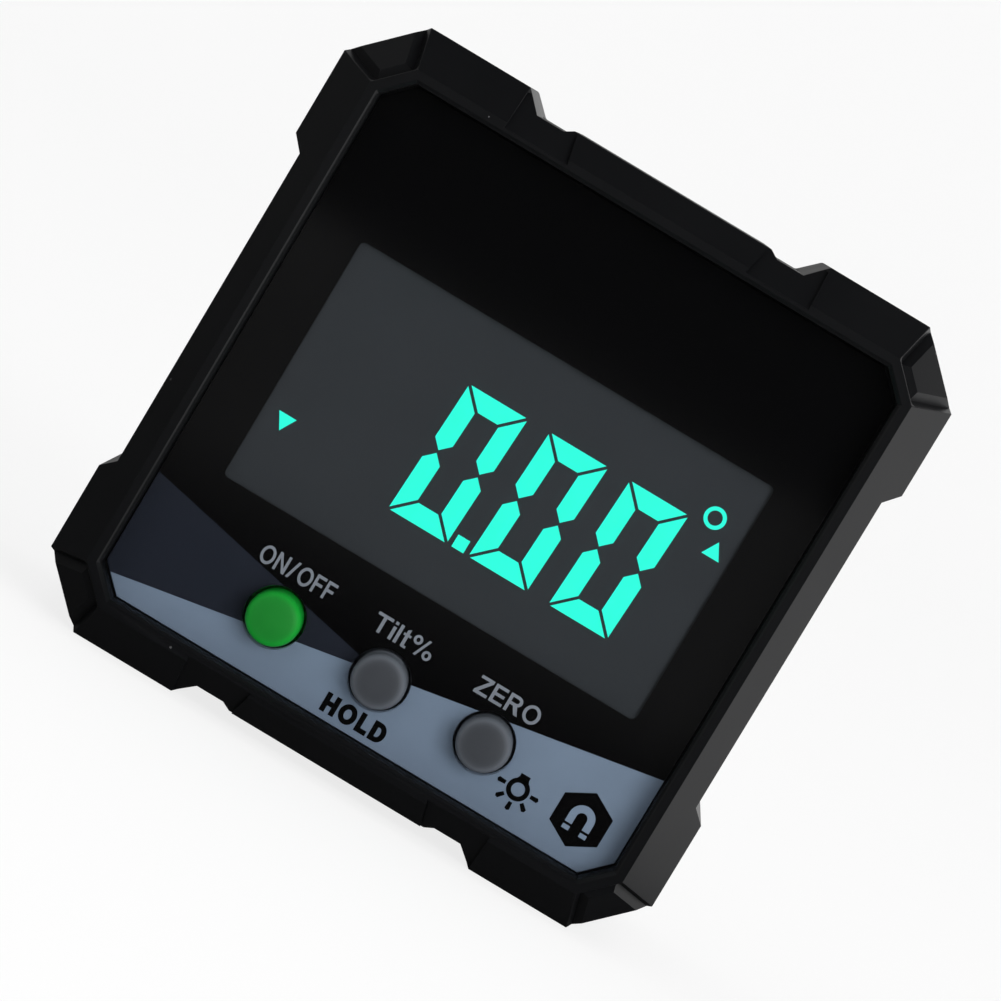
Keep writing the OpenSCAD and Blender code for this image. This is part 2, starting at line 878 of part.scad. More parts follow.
module lcd_frame() {
    color([0.85, 0.86, 0.84])
        plate(panel_back, board_front)
            difference() {
                square([2 * (frame_in_x + frame_wall), 2 * (frame_in_y + frame_wall)], center = true);
                square([2 * frame_in_x, 2 * frame_in_y], center = true);
            }
}

module backlight_guide() {
    color([0.8, 0.95, 0.9])
        plate(lcd_back, guide_back)
            square([guide_w, guide_h], center = true);
}

module backlight_lamps() {
    color([0.95, 0.95, 0.8])
        plate(board_front - lamp_h, board_front)
            for (s = both)
                translate([s * guide_w / 4, 0])
                    square([2 * lamp_h, lamp_h], center = true);
}

module contact_strips() {
    color([0.25, 0.22, 0.24])
        plate(lcd_back, board_front)
            for (s = both)
                translate([0, s * strip_y])
                    square([strip_len, strip_t], center = true);
}

module main_board() {
    color([0.05, 0.3, 0.12])
        plate(board_front, board_back)
            difference() {
                notched_square(board_half, boss_room);
                at_corners(post_x, post_y)
                    circle(d = board_screw_d + 2 * screw_fit);
            }
}

module controller_chip() {
    color([0.07, 0.07, 0.08])
        plate(board_back, board_back + controller_h)
            translate([controller_x, 0])
                square(controller_w, center = true);
}

module tilt_sensor() {
    color([0.12, 0.12, 0.13])
        plate(board_back, board_back + sensor_h)
            translate([sensor_x, 0])
                square(sensor_w, center = true);
}

module board_components() {
    color([0.5, 0.4, 0.3])
        plate(board_back, board_back + chip_len / 2)
            for (i = [-2 : 2], s = both)
                translate([i * chip_pitch, s * chip_row])
                    square([chip_len / 2, chip_len], center = true);
}

module switch_bodies() {
    color([0.2, 0.2, 0.21])
        difference() {
            plate(switch_front, board_front)
                at_buttons()
                    square(switch_w, center = true);
            plate(switch_front - over, plunger_seat)
                at_buttons()
                    circle(d = plunger_d + 2 * plunger_gap);
        }
}

// Switch plunger behind one of the three buttons, counted from the middle
module plunger(i) {
    plate(tail_end, plunger_end)
        translate([i * button_pitch, button_y])
            circle(d = plunger_d);
}

module power_plunger() {
    color([0.1, 0.1, 0.1])
        plunger(-1);
}

module hold_plunger() {
    color([0.1, 0.1, 0.1])
        plunger(0);
}

module zero_plunger() {
    color([0.1, 0.1, 0.1])
        plunger(1);
}

// Points of a button's crowned face and of its rounded edge, as radius and depth
function crown_point(a) = [button_crown * sin(a), button_front + button_crown * (1 - cos(a))];
function edge_point(a) = [
    button_d / 2 - button_edge * (1 - sin(a)),
    button_front + button_crown - (button_crown - button_edge) * cos(crown_turn) - button_edge * cos(a)
];

// Crowned button with a flange behind the panel and a tail on its switch
module button(i) {
    turned(i * button_pitch, button_y)
        polygon(concat(
            [for (k = [0 : crown_steps]) crown_point(crown_turn * k / crown_steps)],
            [for (k = [1 : edge_steps]) edge_point(crown_turn + (90 - crown_turn) * k / edge_steps)],
            [
                [button_d / 2, flange_front], [flange_d / 2, flange_front],
                [flange_d / 2, flange_back], [tail_d / 2, flange_back],
                [tail_d / 2, tail_end], [0, tail_end]
            ]));
}

module power_button() {
    color([0.09, 0.59, 0.17])
        button(-1);
}

module hold_button() {
    color([0.42, 0.43, 0.43])
        button(0);
}

module zero_button() {
    color([0.42, 0.43, 0.43])
        button(1);
}

module foot_magnets() {
    color([0.75, 0.75, 0.77])
        foot_discs(magnet_d, magnet_sink, magnet_sink + magnet_t);
}

// Battery with its button towards the right for a side of 1, and the left for -1
module battery(side) {
    tip = side > 0 ? 0 : 180;
    translate([0, battery_depth - case_depth / 2, half + side * battery_pitch / 2])
        rotate([0, 0, tip])
            rotate([0, 90, 0])
                translate([0, 0, plate_x - battery_len]) {
                    cylinder(d = battery_d, h = battery_len - nub_h);
                    cylinder(d = nub_d, h = battery_len);
                }
}

module batteries() {
    color([0.6, 0.45, 0.15])
        for (side = both)
            battery(side);
}

// Radius and height of a contact spring's wire after k turns, and a ring of points round it
function spring_radius(k) = spring_r + (spring_tip_r - spring_r) * k / spring_turns;
function spring_axis(k) = (spring_len - spring_wire) * k / spring_turns + spring_wire / 4;
function wire_ring(k) = [
    for (j = [0 : wire_sides - 1])
        let (
            turn = 360 * j / wire_sides,
            r = spring_radius(k) + spring_wire / 2 * cos(turn)
        )
            [r * cos(360 * k), r * sin(360 * k), spring_axis(k) + spring_wire / 2 * sin(turn)]
];

// Conical coil that stands on a contact plate
module spring() {
    steps = spring_turns * turn_steps;
    rings = [for (i = [0 : steps]) wire_ring(i * spring_turns / steps)];
    points = [for (ring = rings) for (p = ring) p];
    walls = [
        for (i = [0 : steps - 1], j = [0 : wire_sides - 1])
            let (
                next = (j + 1) % wire_sides,
                here = wire_sides * i,
                there = wire_sides * (i + 1)
            )
                [here + j, here + next, there + next, there + j]
    ];
    ends = [
        [for (j = [wire_sides - 1 : -1 : 0]) j],
        [for (j = [0 : wire_sides - 1]) wire_sides * steps + j]
    ];
    polyhedron(points, concat(walls, ends));
}

// Contact plate at the right end for a side of 1, and the left for -1, opposite one battery
module contact_plate(side, row) {
    translate([
        side * (plate_x + contact_t / 2), battery_depth - case_depth / 2, half + row * battery_pitch / 2
    ])
        cube([contact_t, contact_w, contact_w], center = true);
}

module contact_spring(side, row) {
    translate([side * plate_x, battery_depth - case_depth / 2, half + row * battery_pitch / 2])
        rotate([0, -90 * side, 0])
            spring();
}

// Tail from a contact plate through the bay floor to the board
module contact_tail(row) {
    plate(board_back, battery_depth)
        translate([plate_x + contact_t / 2, row * battery_pitch / 2])
            square([contact_t, contact_tail_w], center = true);
}

module cell_contacts() {
    color([0.72, 0.72, 0.7])
        for (row = both) {
            contact_plate(1, row);
            contact_tail(row);
            if (row < 0)
                contact_spring(1, row);
        }
}

module bridge_contact() {
    color([0.72, 0.72, 0.7]) {
        for (row = both)
            contact_plate(-1, row);
        translate([-plate_x - contact_t / 2, battery_depth - case_depth / 2, half])
            cube([contact_t, contact_tail_w, battery_pitch], center = true);
        contact_spring(-1, 1);
    }
}

module case_screws() {
    color([0.3, 0.3, 0.31]) {
        plate(thread_end, head_front)
            at_corners(boss_at, boss_at)
                circle(d = case_screw_d);
        plate(head_front, head_back)
            at_corners(boss_at, boss_at)
                circle(d = case_head_d);
    }
}

module board_screws() {
    color([0.6, 0.6, 0.6]) {
        plate(board_thread_end, board_back)
            at_corners(post_x, post_y)
                circle(d = board_screw_d);
        plate(board_back, board_back + board_head_h)
            at_corners(post_x, post_y)
                circle(d = board_head_d);
    }
}

front_case();
rear_cover();
battery_door();
lens();
face_print();
band_print();
wedge_print();
lens_tape();
lcd_cell();
lcd_segments();
lcd_frame();
backlight_guide();
backlight_lamps();
contact_strips();
main_board();
controller_chip();
tilt_sensor();
board_components();
switch_bodies();
power_plunger();
hold_plunger();
zero_plunger();
power_button();
hold_button();
zero_button();
foot_magnets();
batteries();
cell_contacts();
bridge_contact();
case_screws();
board_screws();
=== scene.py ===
"""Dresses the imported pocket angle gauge: eased case shells, lens and print, lit display, words and
signs, screws, batteries and board, and a plain white studio round it."""
import math

import bmesh
import bpy
from bpy.props import FloatProperty, FloatVectorProperty, PointerProperty
from mathutils import Matrix, Vector


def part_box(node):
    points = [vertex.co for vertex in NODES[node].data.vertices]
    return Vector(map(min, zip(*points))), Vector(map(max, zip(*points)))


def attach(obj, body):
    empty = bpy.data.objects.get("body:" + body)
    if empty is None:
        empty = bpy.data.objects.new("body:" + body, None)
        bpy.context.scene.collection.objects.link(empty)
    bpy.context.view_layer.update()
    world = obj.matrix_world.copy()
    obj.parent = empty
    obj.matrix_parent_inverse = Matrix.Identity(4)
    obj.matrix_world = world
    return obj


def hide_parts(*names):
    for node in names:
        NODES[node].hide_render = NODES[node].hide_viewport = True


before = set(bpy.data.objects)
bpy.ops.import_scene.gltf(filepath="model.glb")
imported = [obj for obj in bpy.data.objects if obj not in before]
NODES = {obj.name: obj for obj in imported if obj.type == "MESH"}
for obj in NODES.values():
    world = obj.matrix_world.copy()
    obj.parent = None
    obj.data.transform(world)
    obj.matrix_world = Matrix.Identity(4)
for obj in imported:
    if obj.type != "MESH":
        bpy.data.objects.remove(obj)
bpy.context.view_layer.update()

bl_info = {
    "name": "Angle gauge dressing",
    "version": (1, 0, 0),
    "blender": (4, 5, 0),
    "location": "View3D > Sidebar > Gauge",
    "description": "Finishes the packed angle gauge and sets it in a white studio",
    "category": "Object",
}

MM = 0.001

# Points this close are one, faces this wide are shaded flat, and the print stands this far off the film
MERGE = 0.002 * MM
WIDE_FACE = 0.62 * MM
PRINT_LIFT = 0.004 * MM

# How far the outer edges reach past the board, behind the lens's front and before the back
BOARD_ROOM = 0.7 * MM
RIM_DEEP = 0.2 * MM
BACK_DEEP = 0.3 * MM

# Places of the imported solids; LENS_CUT is how far out plus how far up the lens's cut corners lie
CASE_LOW, CASE_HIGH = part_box("front_case")
BACK_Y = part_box("rear_cover")[1].y
MIDDLE_Z = (CASE_LOW.z + CASE_HIGH.z) / 2
FILM_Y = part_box("face_print")[0].y
LENS_LOW, LENS_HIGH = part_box("lens")
LENS_CUT = max(abs(v.co.x) + abs(v.co.z - MIDDLE_Z) for v in NODES["lens"].data.vertices)
BOARD_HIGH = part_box("main_board")[1]


def length(name, description, millimetres):
    """A length property, given in millimetres and kept in metres."""
    return FloatProperty(
        name=name, description=description, default=millimetres * MM,
        min=0, precision=5, subtype="DISTANCE", unit="LENGTH")


def colour(name, description, default):
    """A linear colour property."""
    return FloatVectorProperty(
        name=name, description=description, default=default, size=3, min=0, max=1, subtype="COLOR")


def share(name, description, default):
    """A property from nought to one."""
    return FloatProperty(
        name=name, description=description, default=default, min=0, max=1, subtype="FACTOR")


class GaugeSizes(bpy.types.PropertyGroup):
    """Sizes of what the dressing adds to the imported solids"""

    edge_round: length("Edge round", "Rounding of the case's outer edges", 0.16)
    door_round: length("Door round", "Rounding of the battery door's edges", 0.2)
    lens_round: length("Lens round", "Polish of the lens's front edge", 0.12)
    magnet_round: length("Magnet round", "Rounding of the magnets' edges", 0.15)
    lens_lift: length("Lens lift", "Clear glue between the lens and the printed film", 0.06)
    ink: length("Ink", "Thickness of the printed words and signs", 0.02)
    word_gap: length("Word gap", "Distance from one letter to the next", 0.2)
    light_stroke: length("Light stroke", "Stroke of the light words", 0.27)
    dark_stroke: length("Dark stroke", "Stroke of the dark word", 0.46)


class GaugeColours(bpy.types.PropertyGroup):
    """Linear colours of the gauge's finishes"""

    case: colour("Case", "Moulded case plastic", (0.0029, 0.0031, 0.0038))
    dust: colour("Dust", "Flecks of dust on the case", (0.05, 0.05, 0.052))
    print_black: colour("Black print", "Ink round the window", (0.0012, 0.0012, 0.0014))
    band: colour("Band", "Pale band of the print", (0.122, 0.159, 0.213))
    wedge: colour("Wedge", "Dark grey wedge of the print", (0.011, 0.0132, 0.0195))
    words: colour("Words", "Light words of the print", (0.15, 0.165, 0.19))
    display: colour("Display", "Dark polariser of the display", (0.0205, 0.0235, 0.0265))
    lit: colour("Lit segments", "Glow of the lit segments", (0.008, 0.96, 0.7))
    green: colour("Green rubber", "Power button", (0.0025, 0.15, 0.0135))
    grey: colour("Grey rubber", "Hold and zero buttons", (0.032, 0.0355, 0.0415))
    nickel: colour("Nickel", "Plated magnets and contacts", (0.6, 0.59, 0.56))
    jacket: colour("Battery jacket", "Printed sleeve of a battery", (0.05, 0.06, 0.075))
    board: colour("Board", "Solder resist of the circuit board", (0.008, 0.1, 0.03))


class GaugeStudio(bpy.types.PropertyGroup):
    """Camera and light of the studio"""

    camera_x: FloatProperty(
        name="Camera sideways", description="Camera's place to the right of the case",
        default=-0.00058, unit="LENGTH", subtype="DISTANCE")
    camera_back: length("Camera distance", "Camera's distance in front of the rim", 387.98)
    camera_rise: length("Camera rise", "Camera's height above the middle of the face", 30.24)
    camera_yaw: FloatProperty(
        name="Yaw", description="Camera's turn to the left", default=math.radians(-0.226), subtype="ANGLE")
    camera_pitch: FloatProperty(
        name="Pitch", description="Camera's tilt upwards", default=math.radians(-4.609), subtype="ANGLE")
    camera_roll: FloatProperty(
        name="Roll", description="Camera's turn about its view", default=math.radians(-30.985),
        subtype="ANGLE")
    focal: FloatProperty(
        name="Focal length", description="Camera's focal length in millimetres", default=166.2, min=1)
    key: FloatProperty(name="Key", description="Power of the large lamp", default=5.9, min=0, unit="POWER")
    ambient: share("Ambient", "Soft light from all round", 0.75)
    shadow: share("Shadow", "Share of the floor's own shade that the picture keeps", 0.2)


class Signal:
    """A shader value that takes part in Python expressions."""

    def __init__(self, finish, socket):
        self.finish = finish
        self.socket = socket

    def _math(self, operation, *values):
        return self.finish.node("Math", {"operation": operation}, dict(enumerate(values)))

    def __add__(self, other):
        return self._math("ADD", self, other)

    def __sub__(self, other):
        return self._math("SUBTRACT", self, other)

    def __rsub__(self, other):
        return self._math("SUBTRACT", other, self)

    def __mul__(self, other):
        return self._math("MULTIPLY", self, other)

    __radd__ = __add__
    __rmul__ = __mul__

    def over(self, level):
        """One where the value is above a level, else nought."""
        return self._math("GREATER_THAN", self, level)

    def under(self, level):
        """One where the value is below a level, else nought."""
        return self._math("LESS_THAN", self, level)

    def size(self):
        """The value without its sign."""
        return self._math("ABSOLUTE", self)

    def larger(self, other):
        """The larger of two values."""
        return self._math("MAXIMUM", self, other)

    def rise(self, low, high):
        """A soft step from nought at one level to one at another."""
        return self.finish.node(
            "MapRange", {"interpolation_type": "SMOOTHSTEP"}, {0: self, 1: low, 2: high})


class Finish:
    """A node tree under construction, of a new material or of a given owner such as the world."""

    def __init__(self, name, owner=None):
        self.owner = owner or bpy.data.materials.new(name)
        self.owner.use_nodes = True
        self.tree = self.owner.node_tree
        self.tree.nodes.clear()

    def node(self, kind, settings=None, inputs=None, out=0):
        """Adds a node: its settings first, then its sockets' values or links."""
        made = self.tree.nodes.new("ShaderNode" + kind)
        for name, value in (settings or {}).items():
            setattr(made, name, value)
        for key, value in (inputs or {}).items():
            if isinstance(value, Signal):
                self.tree.links.new(value.socket, made.inputs[key])
            else:
                made.inputs[key].default_value = value
        return Signal(self, made.outputs[out] if made.outputs else None)

    def place(self, stretch=(1, 1, 1)):
        """The piece's own coordinates in metres, stretched."""
        where = self.node("TexCoord", out="Object")
        return self.node("Mapping", {}, {"Vector": where, "Scale": stretch})

    def along(self, axis):
        """One of the piece's own coordinates, 0 to 2 for X to Z."""
        return self.node("SeparateXYZ", {}, {0: self.node("TexCoord", out="Object")}, axis)

    def noise(self, scale, detail, stretch=(1, 1, 1)):
        """Soft noise with so many waves to the metre and so many finer layers."""
        waves = {"Vector": self.place(stretch), "Scale": scale, "Detail": detail}
        return self.node("TexNoise", {}, waves, "Fac")

    def flecks(self, scale, radius, few):
        """Small round spots in a few of the cells of a lattice."""
        cells = {"Vector": self.place(), "Scale": scale}
        near = self.node("TexVoronoi", {}, cells, "Distance")
        pick = self.node("SeparateColor", {}, {0: self.node("TexVoronoi", {}, cells, "Color")}, 0)
        return near.under(radius) * pick.under(few)

    def mix(self, factor, first, second):
        """Blends two colours."""
        return self.node("Mix", {"data_type": "RGBA"}, {0: factor, 6: first, 7: second}, 2)

    def shades(self, factor, tone, spread):
        """A colour that varies about its tone by a share of it."""
        return self.mix(factor, scaled(tone, 1 - spread), scaled(tone, 1 + spread))

    def bump(self, height, strength, millimetres):
        """A normal that follows a height."""
        return self.node("Bump", {}, {"Strength": strength, "Distance": millimetres * MM, "Height": height})

    def surface(self, **inputs):
        """Ends the tree with one Principled shader and returns the material."""
        return self.end(self.node("BsdfPrincipled", {}, {k.replace("_", " "): v for k, v in inputs.items()}))

    def end(self, shader, kind="OutputMaterial"):
        """Links the last shader to the output."""
        self.node(kind, {}, {"Surface": shader})
        return self.owner


def scaled(tone, factor):
    """A colour times a factor, with full alpha."""
    return (*(min(1.0, c * factor) for c in tone[:3]), 1.0)


def gauge(part):
    """One of the add-on's property groups."""
    return getattr(bpy.context.scene, "gauge_" + part)


def piece(name, bm, finish, body, replaces=(), smooth=None, flat=False):
    """Makes a mesh object of a bmesh in place, and has it ride on a CAD body."""
    mesh = bpy.data.meshes.new(name)
    bm.to_mesh(mesh)
    bm.free()
    made = bpy.data.objects.new(name, mesh)
    bpy.context.scene.collection.objects.link(made)
    mesh.materials.append(finish)
    if smooth:
        mesh.shade_smooth()
        mesh.set_sharp_from_angle(angle=math.radians(smooth))
    if flat:
        level_faces(mesh)
    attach(made, body)
    if replaces:
        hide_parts(*replaces)


def level_faces(mesh):
    """Shades the wide faces of a moulded solid flat, so that only its rounded edges are smooth."""
    for face in mesh.polygons:
        ends = ((mesh.vertices[a].co, mesh.vertices[b].co) for a, b in face.edge_keys)
        longest = max((a - b).length for a, b in ends)
        face.use_smooth = face.area < WIDE_FACE * longest


def coat(material, *nodes):
    """Gives CAD nodes a material."""
    for node in nodes:
        slots = NODES[node].data.materials
        slots.clear()
        slots.append(material)


def merged_copy(node):
    """A CAD node's solid as a bmesh with whole faces."""
    bm = bmesh.new()
    bm.from_mesh(NODES[node].data)
    bmesh.ops.remove_doubles(bm, verts=bm.verts, dist=MERGE)
    bmesh.ops.dissolve_limit(
        bm, angle_limit=math.radians(0.5), use_dissolve_boundaries=False,
        verts=bm.verts, edges=bm.edges, delimit=set())
    return bm


def ease(bm, edges, radius):
    """Rounds some edges of a solid."""
    bmesh.ops.bevel(
        bm, geom=edges, offset=radius, offset_type="OFFSET", affect="EDGES", segments=2,
        profile=0.5, clamp_overlap=True, material=-1, loop_slide=True)


def keep_in(bm, low, high):
    """Puts vertices that a bevel left a hair outside a box back on its faces."""
    for vertex in bm.verts:
        vertex.co = [min(max(c, least), most) for c, least, most in zip(vertex.co, low, high)]


def corners(bm, least=0.5, angle=18):
    """The edges longer than a length in millimetres where a solid turns a corner."""
    return [
        e for e in bm.edges
        if len(e.link_faces) == 2 and e.calc_length() > least * MM
        and e.calc_face_angle() > math.radians(angle)
    ]


def middle(edge):
    """The middle of an edge."""
    return (edge.verts[0].co + edge.verts[1].co) / 2


def outside(point):
    """True for a point of the case's outer faces or of its front rim."""
    far = max(abs(point.x), abs(point.z - MIDDLE_Z)) > BOARD_HIGH.x + BOARD_ROOM
    return far or point.y < LENS_LOW.y + RIM_DEEP or point.y > BACK_Y - BACK_DEEP


def satin_plastic(name, tone, rough):
    """Moulded plastic with a fine spark-eroded grain and a little dust, duller on the wall round the lens."""
    finish = Finish(name)
    grain = finish.noise(9000, 1)
    drift = finish.noise(130, 3)
    dust = finish.flecks(420, 0.045, 0.12)
    side, rise = finish.along(0).size(), (finish.along(2) - MIDDLE_Z).size()
    outer = side.larger(rise).larger(side + rise - LENS_CUT + LENS_HIGH.x)
    wall = (1 - outer.rise(LENS_HIGH.x + 0.3 * MM, LENS_HIGH.x + 0.4 * MM)) * (
        1 - finish.along(1).rise(LENS_LOW.y, LENS_HIGH.y))
    return finish.surface(
        Base_Color=finish.mix(dust, finish.shades(drift, tone, 0.15), (*gauge("colours").dust, 1)),
        Roughness=rough + (drift - 0.5) * 0.14 + (grain - 0.5) * 0.1 + wall * 0.5,
        Normal=finish.bump(grain, 0.16, 0.02))


def ink(name, tone, rough=0.4):
    """Screen-printed ink, a little uneven."""
    finish = Finish(name)
    film = finish.noise(1600, 2)
    return finish.surface(
        Base_Color=finish.shades(finish.noise(210, 3), tone, 0.07),
        Roughness=rough + (film - 0.5) * 0.12,
        Specular_IOR_Level=0.02)


def rubber(name, tone, rough, front, rim_highlight):
    """Satin silicone rubber with rubbed patches, and a painted highlight that makes the rim behind its front
    so many times paler.
    """
    finish = Finish(name)
    grain = finish.noise(7000, 1)
    worn = finish.noise(420, 3)
    # Painted highlight: a paler base colour on the rounded rim stands in for the light that the edge catches
    edge = finish.along(1).rise(front + 0.06 * MM, front + 0.36 * MM)
    return finish.surface(
        Base_Color=finish.mix(edge, finish.shades(worn, tone, 0.1), scaled(tone, rim_highlight)),
        Roughness=rough + (worn - 0.5) * 0.2,
        Specular_IOR_Level=0.3,
        Normal=finish.bump(grain, 0.12, 0.015))


def metal(name, tone, rough):
    """Plated metal with fine drawn scratches."""
    finish = Finish(name)
    lines = finish.noise(900, 2, stretch=(1, 1, 14))
    return finish.surface(
        Base_Color=finish.shades(finish.noise(300, 2), tone, 0.06),
        Metallic=1.0,
        Roughness=rough + (lines - 0.5) * 0.18,
        Normal=finish.bump(lines, 0.03, 0.01))


def moulded(name, tone, rough, spread=0.1):
    """Plain moulded or fired material with a faint grain."""
    finish = Finish(name)
    grain = finish.noise(2600, 2)
    return finish.surface(
        Base_Color=finish.shades(grain, tone, spread),
        Roughness=rough + (grain - 0.5) * 0.15,
        Normal=finish.bump(grain, 0.1, 0.02))


class GAUGE_OT_case(bpy.types.Operator):
    """Rounds the edges of the two case shells and the battery door"""

    bl_idname = "gauge.case"
    bl_label = "Case shells"

    # Largest turn in degrees between two faces that are shaded as one round edge
    SOFTEST = 46

    def execute(self, context):
        sizes = gauge("sizes")
        plastic = satin_plastic("case_plastic", gauge("colours").case, 0.36)
        for node, name in (("front_case", "front_shell"), ("rear_cover", "rear_shell")):
            bm = merged_copy(node)
            ease(bm, [e for e in corners(bm) if outside(middle(e))], sizes.edge_round)
            keep_in(bm, *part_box(node))
            piece(name, bm, plastic, "case", [node], smooth=self.SOFTEST, flat=True)
        bm = merged_copy("battery_door")
        ease(bm, [e for e in corners(bm) if middle(e).y > BACK_Y - 0.1 * MM], sizes.door_round)
        piece(
            "door_panel", bm, plastic, "door", ["battery_door"], smooth=self.SOFTEST,
            flat=True)
        return {"FINISHED"}


class GAUGE_OT_lens(bpy.types.Operator):
    """Polishes the lens and inks the film behind it"""

    bl_idname = "gauge.lens"
    bl_label = "Lens and print"

    def execute(self, context):
        sizes, colours = gauge("sizes"), gauge("colours")
        bm = merged_copy("lens")
        back = [v for v in bm.verts if v.co.y > LENS_HIGH.y - MERGE]
        bmesh.ops.translate(bm, verts=back, vec=(0, -sizes.lens_lift, 0))
        front = [e for e in corners(bm, 0, 60) if middle(e).y < LENS_LOW.y + MERGE]
        ease(bm, front, sizes.lens_round)
        piece("lens_pane", bm, self.clear(), "case", ["lens"], smooth=40, flat=True)
        coat(ink("black_ink", colours.print_black), "face_print")
        coat(ink("band_ink", colours.band, 0.45), "band_print")
        coat(ink("wedge_ink", colours.wedge), "wedge_print")
        coat(moulded("foam_tape", (0.012, 0.012, 0.012), 0.8), "lens_tape")
        return {"FINISHED"}

    def clear(self):
        """Clear acrylic: a view through with a faint, slightly smeared gloss."""
        finish = Finish("clear_acrylic")
        smear = finish.noise(70, 4)
        front = 1 - finish.node("NewGeometry", out="Backfacing")
        gloss = finish.node("Fresnel", {}, {"IOR": 1.45}) * front * (0.85 + smear * 0.3)
        through = finish.node("BsdfTransparent", {}, {"Color": (0.99, 0.992, 0.994, 1)})
        mirror = finish.node("BsdfGlossy", {}, {"Color": (1, 1, 1, 1), "Roughness": 0.06})
        return finish.end(finish.node("MixShader", {}, {0: gloss, 1: through, 2: mirror}))


class GAUGE_OT_display(bpy.types.Operator):
    """Finishes the display, its lit segments, frame, backlight and contact strips"""

    bl_idname = "gauge.display"
    bl_label = "Display"

    def execute(self, context):
        colours = gauge("colours")
        coat(ink("polariser", colours.display, 0.5), "lcd_cell")
        coat(self.glow(colours.lit), "lcd_segments")
        coat(moulded("frame_plastic", (0.6, 0.61, 0.59), 0.5), "lcd_frame")
        coat(moulded("light_guide", (0.5, 0.7, 0.66), 0.2), "backlight_guide")
        coat(moulded("lamp_lens", (0.7, 0.68, 0.4), 0.25), "backlight_lamps")
        coat(self.striped(), "contact_strips")
        return {"FINISHED"}

    def glow(self, tone):
        """Segments lit from behind, a little uneven."""
        finish = Finish("lit_segments")
        return finish.surface(
            Base_Color=finish.shades(finish.noise(900, 2), (0.01, 0.05, 0.04), 0.2),
            Roughness=0.5 + (finish.noise(1500, 1) - 0.5) * 0.1,
            Emission_Color=finish.shades(finish.noise(350, 2), tone, 0.05),
            Emission_Strength=1.04)

    def striped(self):
        """Rubber strips with fine carbon layers."""
        finish = Finish("striped_rubber")
        layers = finish.node(
            "TexWave", {"bands_direction": "X"}, {"Vector": finish.place(), "Scale": 800.0}, "Fac")
        return finish.surface(
            Base_Color=finish.mix(layers, (0.16, 0.1, 0.11, 1), (0.01, 0.01, 0.01, 1)),
            Roughness=0.6 + layers * 0.2)


class GAUGE_OT_buttons(bpy.types.Operator):
    """Finishes the three buttons and their switch plungers"""

    bl_idname = "gauge.buttons"
    bl_label = "Buttons"

    def execute(self, context):
        colours = gauge("colours")
        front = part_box("power_button")[0].y
        # The last figures set the painted rim highlights of the green and the grey rubber
        green = rubber("green_rubber", colours.green, 0.42, front, 1.6)
        grey = rubber("grey_rubber", colours.grey, 0.44, front, 2.5)
        for key, finish, slot in (
            ("power", green, "button_green"), ("hold", grey, "button_grey"), ("zero", grey, "button_grey")):
            node = key + "_button"
            piece(key + "_cap", merged_copy(node), finish, key + "_key", [node], smooth=50)
        stems = moulded("plunger_plastic", (0.02, 0.02, 0.02), 0.5)
        coat(stems, "power_plunger", "hold_plunger", "zero_plunger")
        return {"FINISHED"}


def on_film(bm, x, z, low, high):
    """Stands a flat drawing, in millimetres, on the printed film as a thin layer between two lifts."""
    drawn = list(bm.faces)
    bmesh.ops.recalc_face_normals(bm, faces=drawn)
    turned = [f for f in drawn if f.normal.z < 0]
    bmesh.ops.reverse_faces(bm, faces=turned)
    top = bmesh.ops.extrude_face_region(bm, geom=drawn, use_keep_orig=True)
    raised = [g for g in top["geom"] if isinstance(g, bmesh.types.BMVert)]
    bmesh.ops.translate(bm, verts=raised, vec=(0, 0, (high - low) / MM))
    bmesh.ops.reverse_faces(bm, faces=drawn)
    stand = Matrix.Translation((x * MM, FILM_Y - low, MIDDLE_Z + z * MM))
    bmesh.ops.transform(
        bm, matrix=stand @ Matrix.Rotation(math.pi / 2, 4, "X") @ Matrix.Scale(MM, 4), verts=bm.verts)
    bmesh.ops.recalc_face_normals(bm, faces=bm.faces)


def span(bm, axis):
    """The lowest and highest place of a mesh along an axis."""
    places = [v.co[axis] for v in bm.verts]
    return min(places), max(places)


def curve(centre, radii, start, end, steps=14):
    """Points along an upright oval from one angle to another, in degrees."""
    turns = [math.radians(start + (end - start) * i / steps) for i in range(steps + 1)]
    return [(centre[0] + radii[0] * math.cos(a), centre[1] + radii[1] * math.sin(a)) for a in turns]


def oval(centre, radii, stroke):
    """Outer and inner loop of an upright oval ring."""
    inner = (radii[0] - stroke, radii[1] - stroke)
    return [curve(centre, r, 0, 345, 23) for r in (radii, inner)]


def box(x0, y0, x1, y1):
    """Corners of an upright rectangle."""
    return [(x0, y0), (x1, y0), (x1, y1), (x0, y1)]


